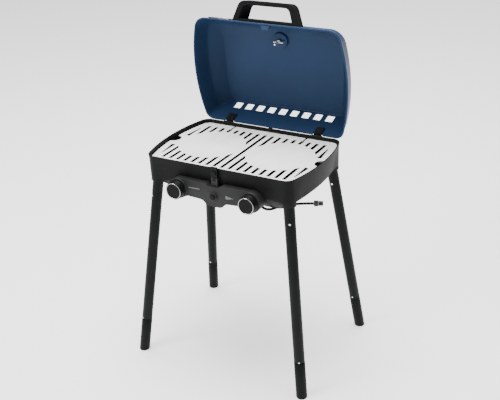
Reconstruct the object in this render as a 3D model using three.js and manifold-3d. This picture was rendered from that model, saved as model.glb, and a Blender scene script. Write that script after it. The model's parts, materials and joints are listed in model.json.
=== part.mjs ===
// Portable two-burner gas grill on four plug-in legs, shown with its lid open.
// Millimetres, +Z up, the control panel faces -Y, the floor is z = 0.
import * as THREE from "three";
import { mergeVertices } from "three/addons/utils/BufferGeometryUtils.js";
import Module from "manifold-3d";

const wasm = await Module();
wasm.setup();

// ---- driving dimensions ----
const GAP = 0.3; // clearance between touching pieces
const BOX_SHIFT_Y = -21.4; // moves the middle of the whole grill's box onto the origin

const RIM_Z = 663.5; // top of the firebox wall
const RIM = { halfWidth: 260, bow: 562, front: -167.5, back: 167.5, frontCorner: 30, backCorner: 30 };
const WALL = 3.5; // firebox wall
const WALL_FOOT_Z = 592; // where the wall turns into the sloping underside
const WALL_FOOT_INSET = 10;
const BASE_Z = 552; // flat underside of the firebox
const BASE = { halfWidth: 206, bow: 562, front: -125, back: 125, frontCorner: 30, backCorner: 30 };

const GRATE_TOP = 652;
const GRATE_THICKNESS = 4.3;
const GRATE = { halfWidth: 251, bow: 553, front: -161.5, back: 161.5, frontCorner: 24, backCorner: 24 };
const SLOT_PITCH = 25;
const SLOT_WIDTH = 8.5;
const SLOT_REACH = 134.5; // outer end of every slot
const PLATE_CENTRE = { x: 116, y: 7 }; // solid round cooking area
const PLATE_RADIUS = 102;
const PLATE_SPLIT = 1; // half the gap between the two plates

const SOCKET = { x: 218.6, y: 140.9, z: 576 }; // middle of each leg socket's mouth
const FOOT = { x: 282, y: 213 }; // where each leg meets the floor
const LEG_RADIUS = 16;
const SOCKET_RADIUS = 21;
const LEG_JOINT_Z = 541; // lower end of the visible sleeve
const FOOT_SLEEVE_TOP = 112;

const HINGE = { x: 154, y: 170.6, z: 660 };
const LID_OPEN = 84.8; // degrees from closed to fully open
const LID_Z = 664.5; // lid's edge when closed
const LID_BACK = 169.5;
const LID_FRONT = -166.5;
const LID_WALL = 3;
const LID_DEPTH = 100;
const LID_FOLD = 57; // where the side walls turn into the sloping shoulders
const VENT = { count: 9, pitch: 40.4, width: 25.5, low: 62, high: 92 };

const PANEL = { face: -182, back: -160, top: 617, wall: 2.5 };
const BOSS = { x: 119.5, z: 586, radius: 31, front: -185, back: -147 };
const KNOB_BACK = -189.2;
const KNOB_FACE = -208;
const KNOB = { radius: 27.8, waist: 27.3, faceRadius: 25.4, ringInner: 22.6, ringOuter: 24.4 };
const IGNITER_Z = 582;
const PIPE_Z = 545.5;
const FAR = 300; // beyond the grill's sides, for cuts that go right across
const ROUND_SIDES = 28; // sides of the larger round parts

const { PI, sin, cos, sqrt, asin, max } = Math;
const { degToRad: radians, lerp } = THREE.MathUtils;
const point = (x, y, z) => new THREE.Vector3(x, y, z);

// ---- solids ----
function asSolid(shape) {
  if (!shape.isBufferGeometry) return shape;
  const bare = shape.clone();
  bare.deleteAttribute("normal");
  bare.deleteAttribute("uv");
  const merged = mergeVertices(bare, 1e-4);
  return new wasm.Manifold(new wasm.Mesh({
    numProp: 3,
    vertProperties: Float32Array.from(merged.attributes.position.array),
    triVerts: Uint32Array.from(merged.index.array),
  }));
}

function asGeometry(solid) {
  const mesh = solid.getMesh();
  const geometry = new THREE.BufferGeometry();
  geometry.setAttribute("position", new THREE.BufferAttribute(mesh.vertProperties, 3));
  geometry.setIndex(new THREE.BufferAttribute(mesh.triVerts, 1));
  geometry.computeVertexNormals();
  return geometry;
}

const joined = (...parts) => parts.map(asSolid).reduce((whole, part) => whole.add(part));
const without = (part, ...cuts) =>
  cuts.map(asSolid).reduce((rest, cut) => rest.subtract(cut), asSolid(part));
const common = (part, other) => asSolid(part).intersect(asSolid(other));

function block(x0, x1, y0, y1, z0, z1) {
  return new THREE.BoxGeometry(x1 - x0, y1 - y0, z1 - z0)
    .translate((x0 + x1) / 2, (y0 + y1) / 2, (z0 + z1) / 2);
}

// A round bar from one point to another, tapered when the second radius is given.
function rod(from, to, radius, endRadius = radius, sides = 18) {
  const run = to.clone().sub(from);
  const turn = new THREE.Quaternion().setFromUnitVectors(point(0, 1, 0), run.clone().normalize());
  const middle = from.clone().add(to).multiplyScalar(0.5);
  return new THREE.CylinderGeometry(endRadius, radius, run.length(), sides)
    .applyQuaternion(turn).translate(middle.x, middle.y, middle.z);
}

// A shape drawn in XZ and extruded along Y, or drawn in YZ and extruded along X.
function prismY(shape, y0, y1, curveSegments = 8) {
  const frame = new THREE.Matrix4().makeBasis(point(1, 0, 0), point(0, 0, 1), point(0, -1, 0));
  return new THREE.ExtrudeGeometry(shape, { depth: y1 - y0, bevelEnabled: false, curveSegments })
    .applyMatrix4(frame).translate(0, y1, 0);
}

function prismX(shape, x0, x1, curveSegments = 8) {
  const frame = new THREE.Matrix4().makeBasis(point(0, 1, 0), point(0, 0, 1), point(1, 0, 0));
  return new THREE.ExtrudeGeometry(shape, { depth: x1 - x0, bevelEnabled: false, curveSegments })
    .applyMatrix4(frame).translate(x0, 0, 0);
}

function prismZ(shape, z0, z1, curveSegments = 6) {
  return new THREE.ExtrudeGeometry(shape, { depth: z1 - z0, bevelEnabled: false, curveSegments })
    .translate(0, 0, z0);
}

const polygon = (...corners) => new THREE.Shape(corners.map(([u, v]) => new THREE.Vector2(u, v)));

// A body skinned over closed outlines that all have the same number of points.
function loft(rings) {
  const size = rings[0].length;
  const positions = rings.flat().flatMap((p) => [p.x, p.y, p.z]);
  const triangles = [];
  for (let ring = 0; ring + 1 < rings.length; ring++) {
    for (let i = 0; i < size; i++) {
      const a = ring * size + i;
      const b = ring * size + (i + 1) % size;
      triangles.push(a, b, b + size, a, b + size, a + size);
    }
  }
  const caps = THREE.ShapeUtils.triangulateShape(rings[0].map((p) => new THREE.Vector2(p.x, p.y)), []);
  const last = (rings.length - 1) * size;
  for (const [a, b, c] of caps) triangles.push(a, c, b, last + a, last + b, last + c);
  const geometry = new THREE.BufferGeometry();
  geometry.setAttribute("position", new THREE.Float32BufferAttribute(positions, 3));
  geometry.setIndex(triangles);
  return geometry;
}

// Straight front and back edges, bowed sides and rounded corners, seen from above.
function plan({ halfWidth, bow, front, back, frontCorner, backCorner }, inset = 0) {
  const radius = bow - inset;
  const middle = halfWidth - bow;
  const corner = (edge, wanted) => {
    const rounding = max(wanted - inset, 4);
    const y = edge - Math.sign(edge) * (inset + rounding);
    const x = middle + sqrt((radius - rounding) ** 2 - y ** 2);
    return { x, y, rounding, angle: asin(y / (radius - rounding)) };
  };
  const low = corner(front, frontCorner);
  const high = corner(back, backCorner);
  const shape = new THREE.Shape();
  shape.absarc(middle, 0, radius, low.angle, high.angle);
  shape.absarc(high.x, high.y, high.rounding, high.angle, PI / 2);
  shape.absarc(-high.x, high.y, high.rounding, PI / 2, PI - high.angle);
  shape.absarc(-middle, 0, radius, PI - high.angle, PI - low.angle);
  shape.absarc(-low.x, low.y, low.rounding, PI - low.angle, PI * 1.5);
  shape.absarc(low.x, low.y, low.rounding, PI * 1.5, PI * 2 + low.angle);
  return shape;
}

const PLAN_POINTS = 3; // half the steps in each arc of a lofted outline
const ringAt = (outline, inset, z) => {
  const arcs = plan(outline, inset).curves.filter((curve) => curve.isEllipseCurve);
  const flat = arcs.flatMap((arc) => arc.getPoints(2 * PLAN_POINTS));
  const apart = flat.filter((p, i) => p.distanceTo(flat[(i + 1) % flat.length]) > 1e-3);
  return apart.map((p) => point(p.x, p.y, z));
};

// ---- scene ----
const grill = new THREE.Group();
const standing = new THREE.Group();
standing.position.y = BOX_SHIFT_Y;
grill.add(standing);

function put(name, shape, color, roughness, metalness, parent = standing) {
  const material = new THREE.MeshStandardMaterial({ color, roughness, metalness });
  const mesh = new THREE.Mesh(asGeometry(asSolid(shape)), material);
  mesh.name = name;
  parent.add(mesh);
  return mesh;
}

const CAST = [0x2e302f, 0.65, 0.3];
const TUBE = [0x2a2c2b, 0.45, 0.4];
const PLASTIC = [0x404141, 0.55, 0.0];
const BLACK = [0x161717, 0.5, 0.0];
const BLUE = [0x2e4462, 0.4, 0.3];
const PLATE = [0xe1e2e0, 0.35, 0.8];
const STEEL = [0xb9bbbc, 0.3, 1.0];
const BRASS = [0xb08d4f, 0.35, 1.0];
const CERAMIC = [0xe8e4da, 0.4, 0.0];
const GLASS = [0xdfe8ea, 0.05, 0.0];

const SIDES = { left: -1, right: 1 };
const CORNERS = {
  front_left: [-1, -1, [-0.4, -0.9]],
  front_right: [1, -1, [0.4, -0.9]],
  back_left: [-1, 1, [0, -1]],
  back_right: [1, 1, [0, -1]],
};

// A point on a leg's axis at height z, measured from the corner's signs.
function legPoint(signX, signY, z) {
  const share = (SOCKET.z - z) / SOCKET.z;
  return point(signX * (SOCKET.x + (FOOT.x - SOCKET.x) * share),
    signY * (SOCKET.y + (FOOT.y - SOCKET.y) * share), z);
}

// ---- firebox ----
function fireboxEnvelope(inset) {
  return loft([
    ringAt(BASE, inset, BASE_Z + inset),
    ringAt(RIM, WALL_FOOT_INSET + inset, WALL_FOOT_Z + inset / 2),
    ringAt(RIM, inset, RIM_Z + (inset > 0 ? 1 : 4)),
  ]);
}

function firebox() {
  const pillarTop = GRATE_TOP - GRATE_THICKNESS - GAP;
  let body = common(fireboxEnvelope(0), block(-FAR, FAR, -FAR, FAR, BASE_Z - 1, RIM_Z));
  body = without(body, fireboxEnvelope(WALL));
  const bores = [];
  for (const [signX, signY] of Object.values(CORNERS)) {
    const socket = rod(legPoint(signX, signY, SOCKET.z), legPoint(signX, signY, 662), SOCKET_RADIUS);
    body = body.add(common(socket, block(-FAR, FAR, -FAR, FAR, 500, pillarTop)));
    bores.push(rod(legPoint(signX, signY, 560), legPoint(signX, signY, 636), LEG_RADIUS + 0.8));
  }
  for (const side of Object.values(SIDES)) {
    const burnerX = side * BOSS.x;
    body = body.add(asSolid(block(burnerX - 4, burnerX + 4, 94, 102, BASE_Z + 1, BOSS.z - 9 - GAP)));
    bores.push(rod(point(burnerX, -170, BOSS.z), point(burnerX, -125, BOSS.z), 11.5));
    body = body.add(asSolid(block(-14, 14, side * 161 - 5, side * 161 + 5, 636, pillarTop)));
  }
  body = body.add(asSolid(block(-7, 7, 162, 165.4, 655, RIM_Z + 2.5)));
  return without(body, ...bores, rod(point(0, 20, 540), point(0, 20, 560), 14));
}
put("firebox", firebox(), ...CAST);

// ---- cooking plates ----
function grate(side) {
  const bottom = GRATE_TOP - GRATE_THICKNESS;
  const own = side > 0 ? [PLATE_SPLIT, FAR] : [-FAR, -PLATE_SPLIT];
  const plate = common(prismZ(plan(GRATE), bottom, GRATE_TOP), block(...own, -FAR, FAR, 600, 700));
  const slots = [];
  for (let i = 0; i <= 8; i++) { // the first is half of a slot the two plates share
    const x = side * i * SLOT_PITCH;
    slots.push(block(x - SLOT_WIDTH / 2, x + SLOT_WIDTH / 2, -SLOT_REACH, SLOT_REACH, 600, 700));
  }
  for (const end of [-1, 1]) {
    const taper = [[218.5, 36], [231, 40], [221.5, 110], [218.5, 108]];
    slots.push(prismZ(polygon(...taper.map(([x, y]) => [side * x, end * y])), 600, 700));
  }
  const disc = rod(point(side * PLATE_CENTRE.x, PLATE_CENTRE.y, 590),
    point(side * PLATE_CENTRE.x, PLATE_CENTRE.y, 710), PLATE_RADIUS, PLATE_RADIUS, 40);
  const openings = without(joined(...slots), disc);
  const notchX = side * 5 * SLOT_PITCH;
  const lugSlit = block(notchX - 2.5, notchX + 2.5, SLOT_REACH - 2, 200, 600, 700);
  const fingerNotch = rod(point(side * 252, 5, 600), point(side * 252, 5, 700), 23);
  return without(plate, openings, lugSlit, fingerNotch);
}
for (const [name, side] of Object.entries(SIDES)) put(`grate_${name}`, grate(side), ...PLATE);

// ---- burners, valves and gas line ----
for (const [name, side] of Object.entries(SIDES)) {
  const x = side * BOSS.x;
  const portRows = [];
  for (let y = -100; y <= 90; y += 38) {
    portRows.push(block(x - 12, x + 12, y, y + 3, BOSS.z + 2, BOSS.z + 4));
  }
  const shell = rod(point(x, -157, BOSS.z), point(x, 110, BOSS.z), 9);
  const bore = rod(point(x, -158, BOSS.z), point(x, 107, BOSS.z), 7.5);
  put(`burner_${name}`, without(shell, bore, ...portRows), ...STEEL);

  const valveBody = joined(rod(point(x, -178.5, BOSS.z), point(x, -163, BOSS.z), 9),
    block(x - 5, x + 5, -172, -164, 559, BOSS.z), block(x - 5, x + 5, -172, -146, 559, 565));
  const stemHole = rod(point(x, -180, BOSS.z), point(x, -170, BOSS.z), 4.4);
  put(`valve_${name}`, without(valveBody, stemHole), ...BRASS);
  put(`valve_stem_${name}`, rod(point(x, -171, BOSS.z), point(x, -200, BOSS.z), 4), ...STEEL);

  const lighterX = x - side * 22;
  const electrodeAt = (z) => point(lighterX, -60, z);
  const insulator = rod(electrodeAt(BASE_Z + WALL + 1), electrodeAt(584), 3, 3, 12);
  const tip = rod(electrodeAt(583), electrodeAt(594), 1, 1, 8);
  put(`electrode_${name}`, joined(insulator, tip), ...CERAMIC);
}
const RAIL_Y = -141;
const RAIL_Z = 560;
put("gas_rail", rod(point(-132, RAIL_Y, RAIL_Z), point(128, RAIL_Y, RAIL_Z), 4.5, 4.5, 12), ...TUBE);

const inletRoute = new THREE.CatmullRomCurve3([
  point(131, RAIL_Y, RAIL_Z), point(140, -138, 552), point(151, -120, 545), point(168, -88, PIPE_Z),
  point(200, -62, PIPE_Z), point(228, -46, PIPE_Z), point(244, -38.5, PIPE_Z),
]);
const pipeSection = new THREE.Shape().absarc(0, 0, 4, 0, PI * 2);
put("inlet_pipe", new THREE.ExtrudeGeometry(pipeSection, {
  steps: 18, curveSegments: 4, bevelEnabled: false, extrudePath: inletRoute,
}), ...TUBE);
const inletEnd = inletRoute.getPoint(1);
const inletAim = inletRoute.getTangent(1);
const beyond = (distance) => inletEnd.clone().addScaledVector(inletAim, distance);
put("inlet_nut", rod(beyond(GAP), beyond(13), 9.5, 9.5, 6), ...BLACK);
put("inlet_connector", without(rod(beyond(13 + GAP), beyond(27), 7, 7, 16),
  rod(beyond(16), beyond(29), 3.5, 3.5, 8)), ...BLACK);

// ---- control panel ----
function panelOutline(inset) {
  const top = PANEL.top - inset;
  const bossRadius = BOSS.radius - inset;
  const right = [[0, 610 - inset], [16, 610 - inset], [26, top], [BOSS.x, top]];
  for (let step = 1; step <= 9; step++) {
    const angle = PI / 2 - step * 0.35;
    right.push([BOSS.x + bossRadius * cos(angle), BOSS.z + bossRadius * sin(angle)]);
  }
  right.push([88, 567 + inset], [50, 565 + inset], [36, 562 + inset], [27, 553 + inset], [17, 549 + inset]);
  const left = right.slice(1).reverse().map(([x, z]) => [-x, z]);
  return polygon(...right, ...left);
}

function controlPanel() {
  let body = asSolid(prismY(panelOutline(0), PANEL.face, PANEL.back));
  const hollows = [prismY(panelOutline(PANEL.wall), PANEL.face + PANEL.wall, PANEL.back + 1)];
  for (const side of Object.values(SIDES)) {
    const x = side * BOSS.x;
    const barrel = rod(point(x, BOSS.front, BOSS.z), point(x, BOSS.back, BOSS.z),
      BOSS.radius, BOSS.radius, ROUND_SIDES);
    body = body.add(asSolid(barrel));
    hollows.push(rod(point(x, BOSS.front + PANEL.wall, BOSS.z), point(x, BOSS.back + 1, BOSS.z),
      BOSS.radius - PANEL.wall, BOSS.radius - PANEL.wall, ROUND_SIDES));
    hollows.push(rod(point(x, -190, BOSS.z), point(x, -175, BOSS.z), 5, 5, 16));
  }
  body = body.add(asSolid(rod(point(0, -187.5, IGNITER_Z), point(0, -181, IGNITER_Z), 12)));
  hollows.push(rod(point(0, -189, IGNITER_Z), point(0, -184, IGNITER_Z), 9));
  hollows.push(rod(point(0, -190, IGNITER_Z), point(0, -175, IGNITER_Z), 3.6, 3.6, 16));
  return without(body, ...hollows, fireboxEnvelope(-0.6));
}
put("control_panel", controlPanel(), ...PLASTIC);

for (const [name, side] of Object.entries(SIDES)) {
  const x = side * BOSS.x;
  const along = (y0, y1, radius, endRadius = radius, sides = 24) =>
    rod(point(x, y0, BOSS.z), point(x, y1, BOSS.z), radius, endRadius, sides);
  const knob = joined(along(KNOB_BACK, KNOB_BACK - 5, KNOB.radius, KNOB.waist, ROUND_SIDES),
    along(KNOB_BACK - 5, KNOB_FACE, KNOB.waist, KNOB.faceRadius, ROUND_SIDES));
  const seat = without(along(KNOB_FACE + 2, KNOB_FACE - 1, KNOB.ringOuter + 0.4),
    along(KNOB_FACE + 3, KNOB_FACE - 2, KNOB.ringInner - 0.4));
  const stemHole = along(-180, -203.5, 4.4, 4.4, 18);
  put(`knob_${name}`, without(knob, seat, stemHole), ...BLACK);
  const ring = without(along(KNOB_FACE + 1.6, KNOB_FACE - 0.7, KNOB.ringOuter),
    along(KNOB_FACE + 3, KNOB_FACE - 2, KNOB.ringInner));
  put(`knob_ring_${name}`, ring, ...STEEL);
}
put("igniter_body", without(rod(point(0, -179, IGNITER_Z), point(0, -163, IGNITER_Z), 8.5),
  rod(point(0, -180, IGNITER_Z), point(0, -165, IGNITER_Z), 3.6, 3.6, 16)), ...BLACK);
put("igniter_button", joined(rod(point(0, -191, IGNITER_Z), point(0, -188.4, IGNITER_Z), 8.4),
  rod(point(0, -189, IGNITER_Z), point(0, -171, IGNITER_Z), 3.2, 3.2, 16)), ...BLACK);

// ---- latch ----
const LATCH_PIVOT = { y: -170.5, z: 631 };
const pivotRod = (half, radius) => rod(point(-half, LATCH_PIVOT.y, LATCH_PIVOT.z),
  point(half, LATCH_PIVOT.y, LATCH_PIVOT.z), radius, radius, 12);
const latchLugs = [-1, 1].map((end) => block(end * 7.3 - 2.7, end * 7.3 + 2.7, -174, -150, 625, 635));
const latchBody = joined(block(-10, 10, -174, -150, 610.8, 626), ...latchLugs);
put("latch_base", without(latchBody, fireboxEnvelope(-0.6), pivotRod(20, 1.9)), ...PLASTIC);
put("latch_pin", pivotRod(9.5, 1.5), ...STEEL);
const clipBody = joined(block(-10.5, 10.5, -174.5, -170, 637, 668),
  block(-4.2, 4.2, -174, -168.5, 627.5, 638), block(-10.5, 10.5, -170.5, -169, 655, 668),
  block(-6, 6, -177, -174, 646, 656));
put("latch_clip", without(clipBody, pivotRod(20, 1.9)), ...BLACK);

// ---- hinge brackets and pins on the firebox ----
const hingeRod = (x, half, radius, sides = 12) => rod(point(x - half, HINGE.y, HINGE.z),
  point(x + half, HINGE.y, HINGE.z), radius, radius, sides);
for (const [name, side] of Object.entries(SIDES)) {
  const x = side * HINGE.x;
  const ears = [x - 15.3, x + 15.3].map((middle) =>
    block(middle - 1.7, middle + 1.7, 160, HINGE.y + 3, 645, HINGE.z + 3));
  const mount = block(x - 17, x + 17, 160, HINGE.y - 1, 640, 652);
  put(`hinge_bracket_${name}`, without(joined(mount, ...ears), fireboxEnvelope(-0.6), hingeRod(x, 20, 2.1)),
    ...BLACK);
  put(`hinge_pin_${name}`, hingeRod(x, 16.8, 1.7), ...STEEL);
}

// ---- grease tray and its rails ----
const TRAY = { half: 82, front: -40, back: 110, bottom: 527, top: 547 };
const trayBlock = (inset, top) => block(inset - TRAY.half, TRAY.half - inset,
  TRAY.front + inset, TRAY.back - inset, TRAY.bottom + inset, top);
put("grease_tray", without(trayBlock(0, TRAY.top), trayBlock(2, TRAY.top + 5)), ...STEEL);
for (const [name, side] of Object.entries(SIDES)) {
  const inner = TRAY.half + 0.5;
  const web = block(inner, inner + 2.5, TRAY.front, TRAY.back, 524.5, BASE_Z - GAP);
  const lip = block(inner - 9, inner + 1, TRAY.front, TRAY.back, 524.5, TRAY.bottom - GAP);
  const rail = joined(web, lip);
  put(`tray_rail_${name}`, side > 0 ? rail : rail.mirror([1, 0, 0]), ...TUBE);
}

// ---- legs ----
for (const [name, [signX, signY, [aimX, aimY]]] of Object.entries(CORNERS)) {
  const at = (z) => legPoint(signX, signY, z);
  const hollow = LEG_RADIUS - 3.4;
  put(`leg_sleeve_${name}`, without(rod(at(LEG_JOINT_Z), at(634), LEG_RADIUS + 0.4),
    rod(at(LEG_JOINT_Z - 5), at(640), LEG_RADIUS - 1.4)), ...TUBE);
  const aim = point(aimX, aimY, 0).normalize();
  const buttonAt = at(LEG_JOINT_Z - 9);
  const outward = (reach) => buttonAt.clone().addScaledVector(aim, reach);
  const tube = joined(rod(at(FOOT_SLEEVE_TOP), at(LEG_JOINT_Z - 0.4), LEG_RADIUS),
    rod(at(LEG_JOINT_Z - 1), at(600), LEG_RADIUS - 1.8));
  put(`leg_${name}`, without(tube, rod(at(100), at(602), hollow),
    rod(outward(8), outward(24), 3.8, 3.8, 16)), ...TUBE);
  put(`leg_button_${name}`, rod(outward(9), outward(LEG_RADIUS + 2.2), 3.3, 2.8, 16), ...STEEL);
  const foot = common(rod(at(-20), at(FOOT_SLEEVE_TOP - 0.4), LEG_RADIUS + 0.5),
    block(-400, 400, -400, 400, 0, 400));
  const well = rod(at(25), at(FOOT_SLEEVE_TOP + 5), hollow);
  put(`leg_foot_${name}`, without(foot, well), ...BLACK);
}

// ---- lid, drawn closed inside a group that turns about the hinge ----
const lidHinge = new THREE.Group();
lidHinge.position.set(0, HINGE.y, HINGE.z);
lidHinge.rotation.x = -radians(LID_OPEN);
standing.add(lidHinge);
const lidFrame = new THREE.Group();
lidFrame.position.set(0, -HINGE.y, -HINGE.z);
lidHinge.add(lidFrame);

// The front wall is straight to FRONT_ROUND and then curls over into the roof.
const FRONT_ROUND = 60;
const FRONT_LEAN = 0.3; // the front wall's lean, run over depth
const ROOF_FRONT = -88.5;
const BACK_LEAN = 0.245;
const LID_HALF = { edge: 260, fold: 246, roof: 208 };
const LID_BOW = { edge: 562, roof: 850 };
function lidOutline(depth, frontY) {
  const low = depth <= LID_FOLD;
  const share = low ? depth / LID_FOLD : (depth - LID_FOLD) / (LID_DEPTH - LID_FOLD);
  return {
    halfWidth: low ? lerp(LID_HALF.edge, LID_HALF.fold, share) : lerp(LID_HALF.fold, LID_HALF.roof, share),
    bow: low ? LID_BOW.edge : lerp(LID_BOW.edge, LID_BOW.roof, share),
    front: frontY,
    back: LID_BACK - BACK_LEAN * depth,
    frontCorner: lerp(40, 52, depth / LID_DEPTH),
    backCorner: lerp(28, 12, depth / LID_DEPTH),
  };
}

function lidRings(inset) {
  const rings = [];
  const add = (depth, frontY) => rings.push(
    ringAt(lidOutline(depth, frontY), inset, LID_Z + depth - inset * (depth / LID_DEPTH)));
  if (inset > 0) rings.push(ringAt(lidOutline(0, LID_FRONT), inset, LID_Z - 1));
  for (const depth of [0, LID_FOLD]) add(depth, LID_FRONT + FRONT_LEAN * depth);
  for (let step = 0; step <= 4; step++) {
    const t = step / 4;
    const depth = FRONT_ROUND * (1 - t) ** 2 + LID_DEPTH * t * (2 - t);
    const wallEnd = LID_FRONT + FRONT_LEAN * FRONT_ROUND;
    const meet = LID_FRONT + FRONT_LEAN * LID_DEPTH;
    add(depth, wallEnd * (1 - t) ** 2 + meet * 2 * t * (1 - t) + ROOF_FRONT * t * t);
  }
  return rings;
}

const DIAL = { y: LID_BACK - 252, top: LID_Z + LID_DEPTH };
function roundedRect(halfU, halfV, corner) {
  const shape = new THREE.Shape();
  shape.absarc(halfU - corner, halfV - corner, corner, 0, PI / 2);
  shape.absarc(corner - halfU, halfV - corner, corner, PI / 2, PI);
  shape.absarc(corner - halfU, corner - halfV, corner, PI, PI * 1.5);
  shape.absarc(halfU - corner, corner - halfV, corner, PI * 1.5, PI * 2);
  return shape;
}

function lid() {
  let body = without(loft(lidRings(0)), loft(lidRings(LID_WALL)));
  const upDial = (low, high, radius, sides) =>
    rod(point(0, DIAL.y, DIAL.top + low), point(0, DIAL.y, DIAL.top + high), radius, radius, sides);
  body = body.add(asSolid(upDial(-11, -1, 24.5, 24)));
  const cuts = [upDial(-8, 5, 21.5, 24), upDial(-20, 5, 3.4, 12)];
  const middle = LID_Z + (VENT.low + VENT.high) / 2;
  for (let i = 0; i < VENT.count; i++) {
    const x = (i - (VENT.count - 1) / 2) * VENT.pitch;
    const hole = prismY(roundedRect(VENT.width / 2, (VENT.high - VENT.low) / 2, 4), 120, 180, 2);
    cuts.push(hole.translate(x, 0, middle));
  }
  for (const side of Object.values(SIDES)) {
    const x = side * HINGE.x;
    cuts.push(block(x - 16.5, x + 16.5, 158, 176, LID_Z - 2, LID_Z + 5.5));
  }
  return without(body, ...cuts);
}
put("lid", lid(), ...BLUE, lidFrame);

for (const [name, side] of Object.entries(SIDES)) {
  const x = side * HINGE.x;
  const leaf = polygon([169.4, 660], [172.8, 660], [172.8, 668.2], [164.6, 668.2], [158.5, 693.5],
    [155.4, 693.5], [161.6, 665], [169.4, 665]);
  const leafBody = joined(prismX(leaf, x - 13, x + 13), hingeRod(x, 13, 3.4, 16));
  put(`hinge_leaf_${name}`, without(leafBody, hingeRod(x, 20, 2.1)), ...BLACK, lidFrame);
}

// Handle, screws and badge stand on the front wall, so they are drawn on it:
// x to the side, y up the wall from the lid's edge, z outward.
const frontWall = new THREE.Group();
const wallLean = Math.atan(FRONT_LEAN);
frontWall.matrixAutoUpdate = false;
const upWall = point(0, sin(wallLean), cos(wallLean));
const offWall = point(0, -cos(wallLean), sin(wallLean));
frontWall.matrix.makeBasis(point(1, 0, 0), upWall, offWall).setPosition(0, LID_FRONT, LID_Z);
lidFrame.add(frontWall);

function bail(foot, shoulder, low, high, corner) {
  const slope = (foot - shoulder) / (high - low);
  const shape = new THREE.Shape();
  shape.moveTo(-foot, low);
  shape.lineTo(foot, low);
  shape.lineTo(shoulder + slope * corner, high - corner);
  shape.quadraticCurveTo(shoulder, high, shoulder - corner, high);
  shape.lineTo(corner - shoulder, high);
  shape.quadraticCurveTo(-shoulder, high, -shoulder - slope * corner, high - corner);
  return shape.getPoints(4);
}

const HANDLE = { near: 5, far: 37, height: 62, bar: 12, base: 9 };
function handle() {
  const ring = (points, z) => points.map((p) => point(p.x, p.y, z));
  const outer = bail(108, 83, 0, HANDLE.height, 16);
  const frontGap = bail(89, 70, HANDLE.base, HANDLE.height - HANDLE.bar, 12);
  const backGap = bail(70, 56, HANDLE.base, HANDLE.height - HANDLE.bar, 12);
  const body = loft([ring(outer, -HANDLE.far), ring(outer, -HANDLE.near)]);
  const window = loft([ring(backGap, -HANDLE.far - 1), ring(frontGap, -HANDLE.near + 1)]);
  const upright = new THREE.Matrix4().makeRotationX(PI / 2);
  return without(body.applyMatrix4(upright), window.applyMatrix4(upright));
}
const handleMesh = put("lid_handle", handle(), ...BLACK, frontWall);
handleMesh.position.z = GAP + 0.1;
put("lid_badge", block(-199, -125, 10, 30, 0.4, 3), ...STEEL, frontWall);
for (const [name, side] of Object.entries(SIDES)) {
  const head = rod(point(side * 98, 21, -3.8), point(side * 98, 21, -6.2), 5, 5, 12);
  put(`handle_screw_${name}`, head, ...STEEL, frontWall);
}
put("lid_catch", block(-11, 11, -160.8, -147, LID_Z + 3, LID_Z + 7), ...BLUE, lidFrame);

// Thermometer: case and bezel outside, probe through the roof, wing nut inside.
const thermometer = new THREE.Group();
thermometer.position.set(0, DIAL.y, DIAL.top);
lidFrame.add(thermometer);
const onDial = (z) => point(0, 0, z);
const caseBody = joined(rod(onDial(-7.6), onDial(0.5), 20.8, 20.8, 24),
  rod(onDial(0.4), onDial(8), 26, 24, 24), rod(onDial(-45), onDial(-7), 2.6, 2.6, 12));
put("thermometer_case", without(caseBody, rod(onDial(5), onDial(9), 21, 21, 24)), ...STEEL, thermometer);
put("thermometer_glass", rod(onDial(5.4), onDial(7), 20.6, 20.6, 24), ...GLASS, thermometer);
const wingNut = joined(rod(onDial(-18), onDial(-11.5), 6, 6, 16), block(-14, 14, -1.6, 1.6, -26, -14));
put("thermometer_nut", without(wingNut, rod(onDial(-30), onDial(-10), 3, 3, 12)), ...STEEL, thermometer);

export default grill;
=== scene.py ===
"""Looks of a portable two-burner gas grill on plug-in legs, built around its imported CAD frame."""

import json
from math import asin, atan, cos, hypot, pi, radians, sin, sqrt

import bmesh
import bpy
from mathutils import Matrix, Vector


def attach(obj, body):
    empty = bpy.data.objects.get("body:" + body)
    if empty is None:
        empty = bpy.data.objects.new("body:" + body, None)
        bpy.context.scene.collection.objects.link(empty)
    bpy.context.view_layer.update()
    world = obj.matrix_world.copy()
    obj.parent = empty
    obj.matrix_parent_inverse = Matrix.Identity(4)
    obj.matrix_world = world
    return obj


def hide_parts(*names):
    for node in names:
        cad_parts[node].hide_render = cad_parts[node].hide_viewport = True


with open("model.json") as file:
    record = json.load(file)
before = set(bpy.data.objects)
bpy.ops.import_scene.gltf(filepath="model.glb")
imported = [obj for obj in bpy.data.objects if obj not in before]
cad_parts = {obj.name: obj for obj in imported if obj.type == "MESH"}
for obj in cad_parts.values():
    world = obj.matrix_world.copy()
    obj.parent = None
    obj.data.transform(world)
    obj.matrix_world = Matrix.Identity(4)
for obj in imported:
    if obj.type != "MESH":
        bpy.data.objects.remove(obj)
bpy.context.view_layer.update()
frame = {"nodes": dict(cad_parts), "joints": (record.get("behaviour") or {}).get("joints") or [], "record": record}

JOINTS = {joint["name"]: joint for joint in frame["joints"]}
MM = 0.001

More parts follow.
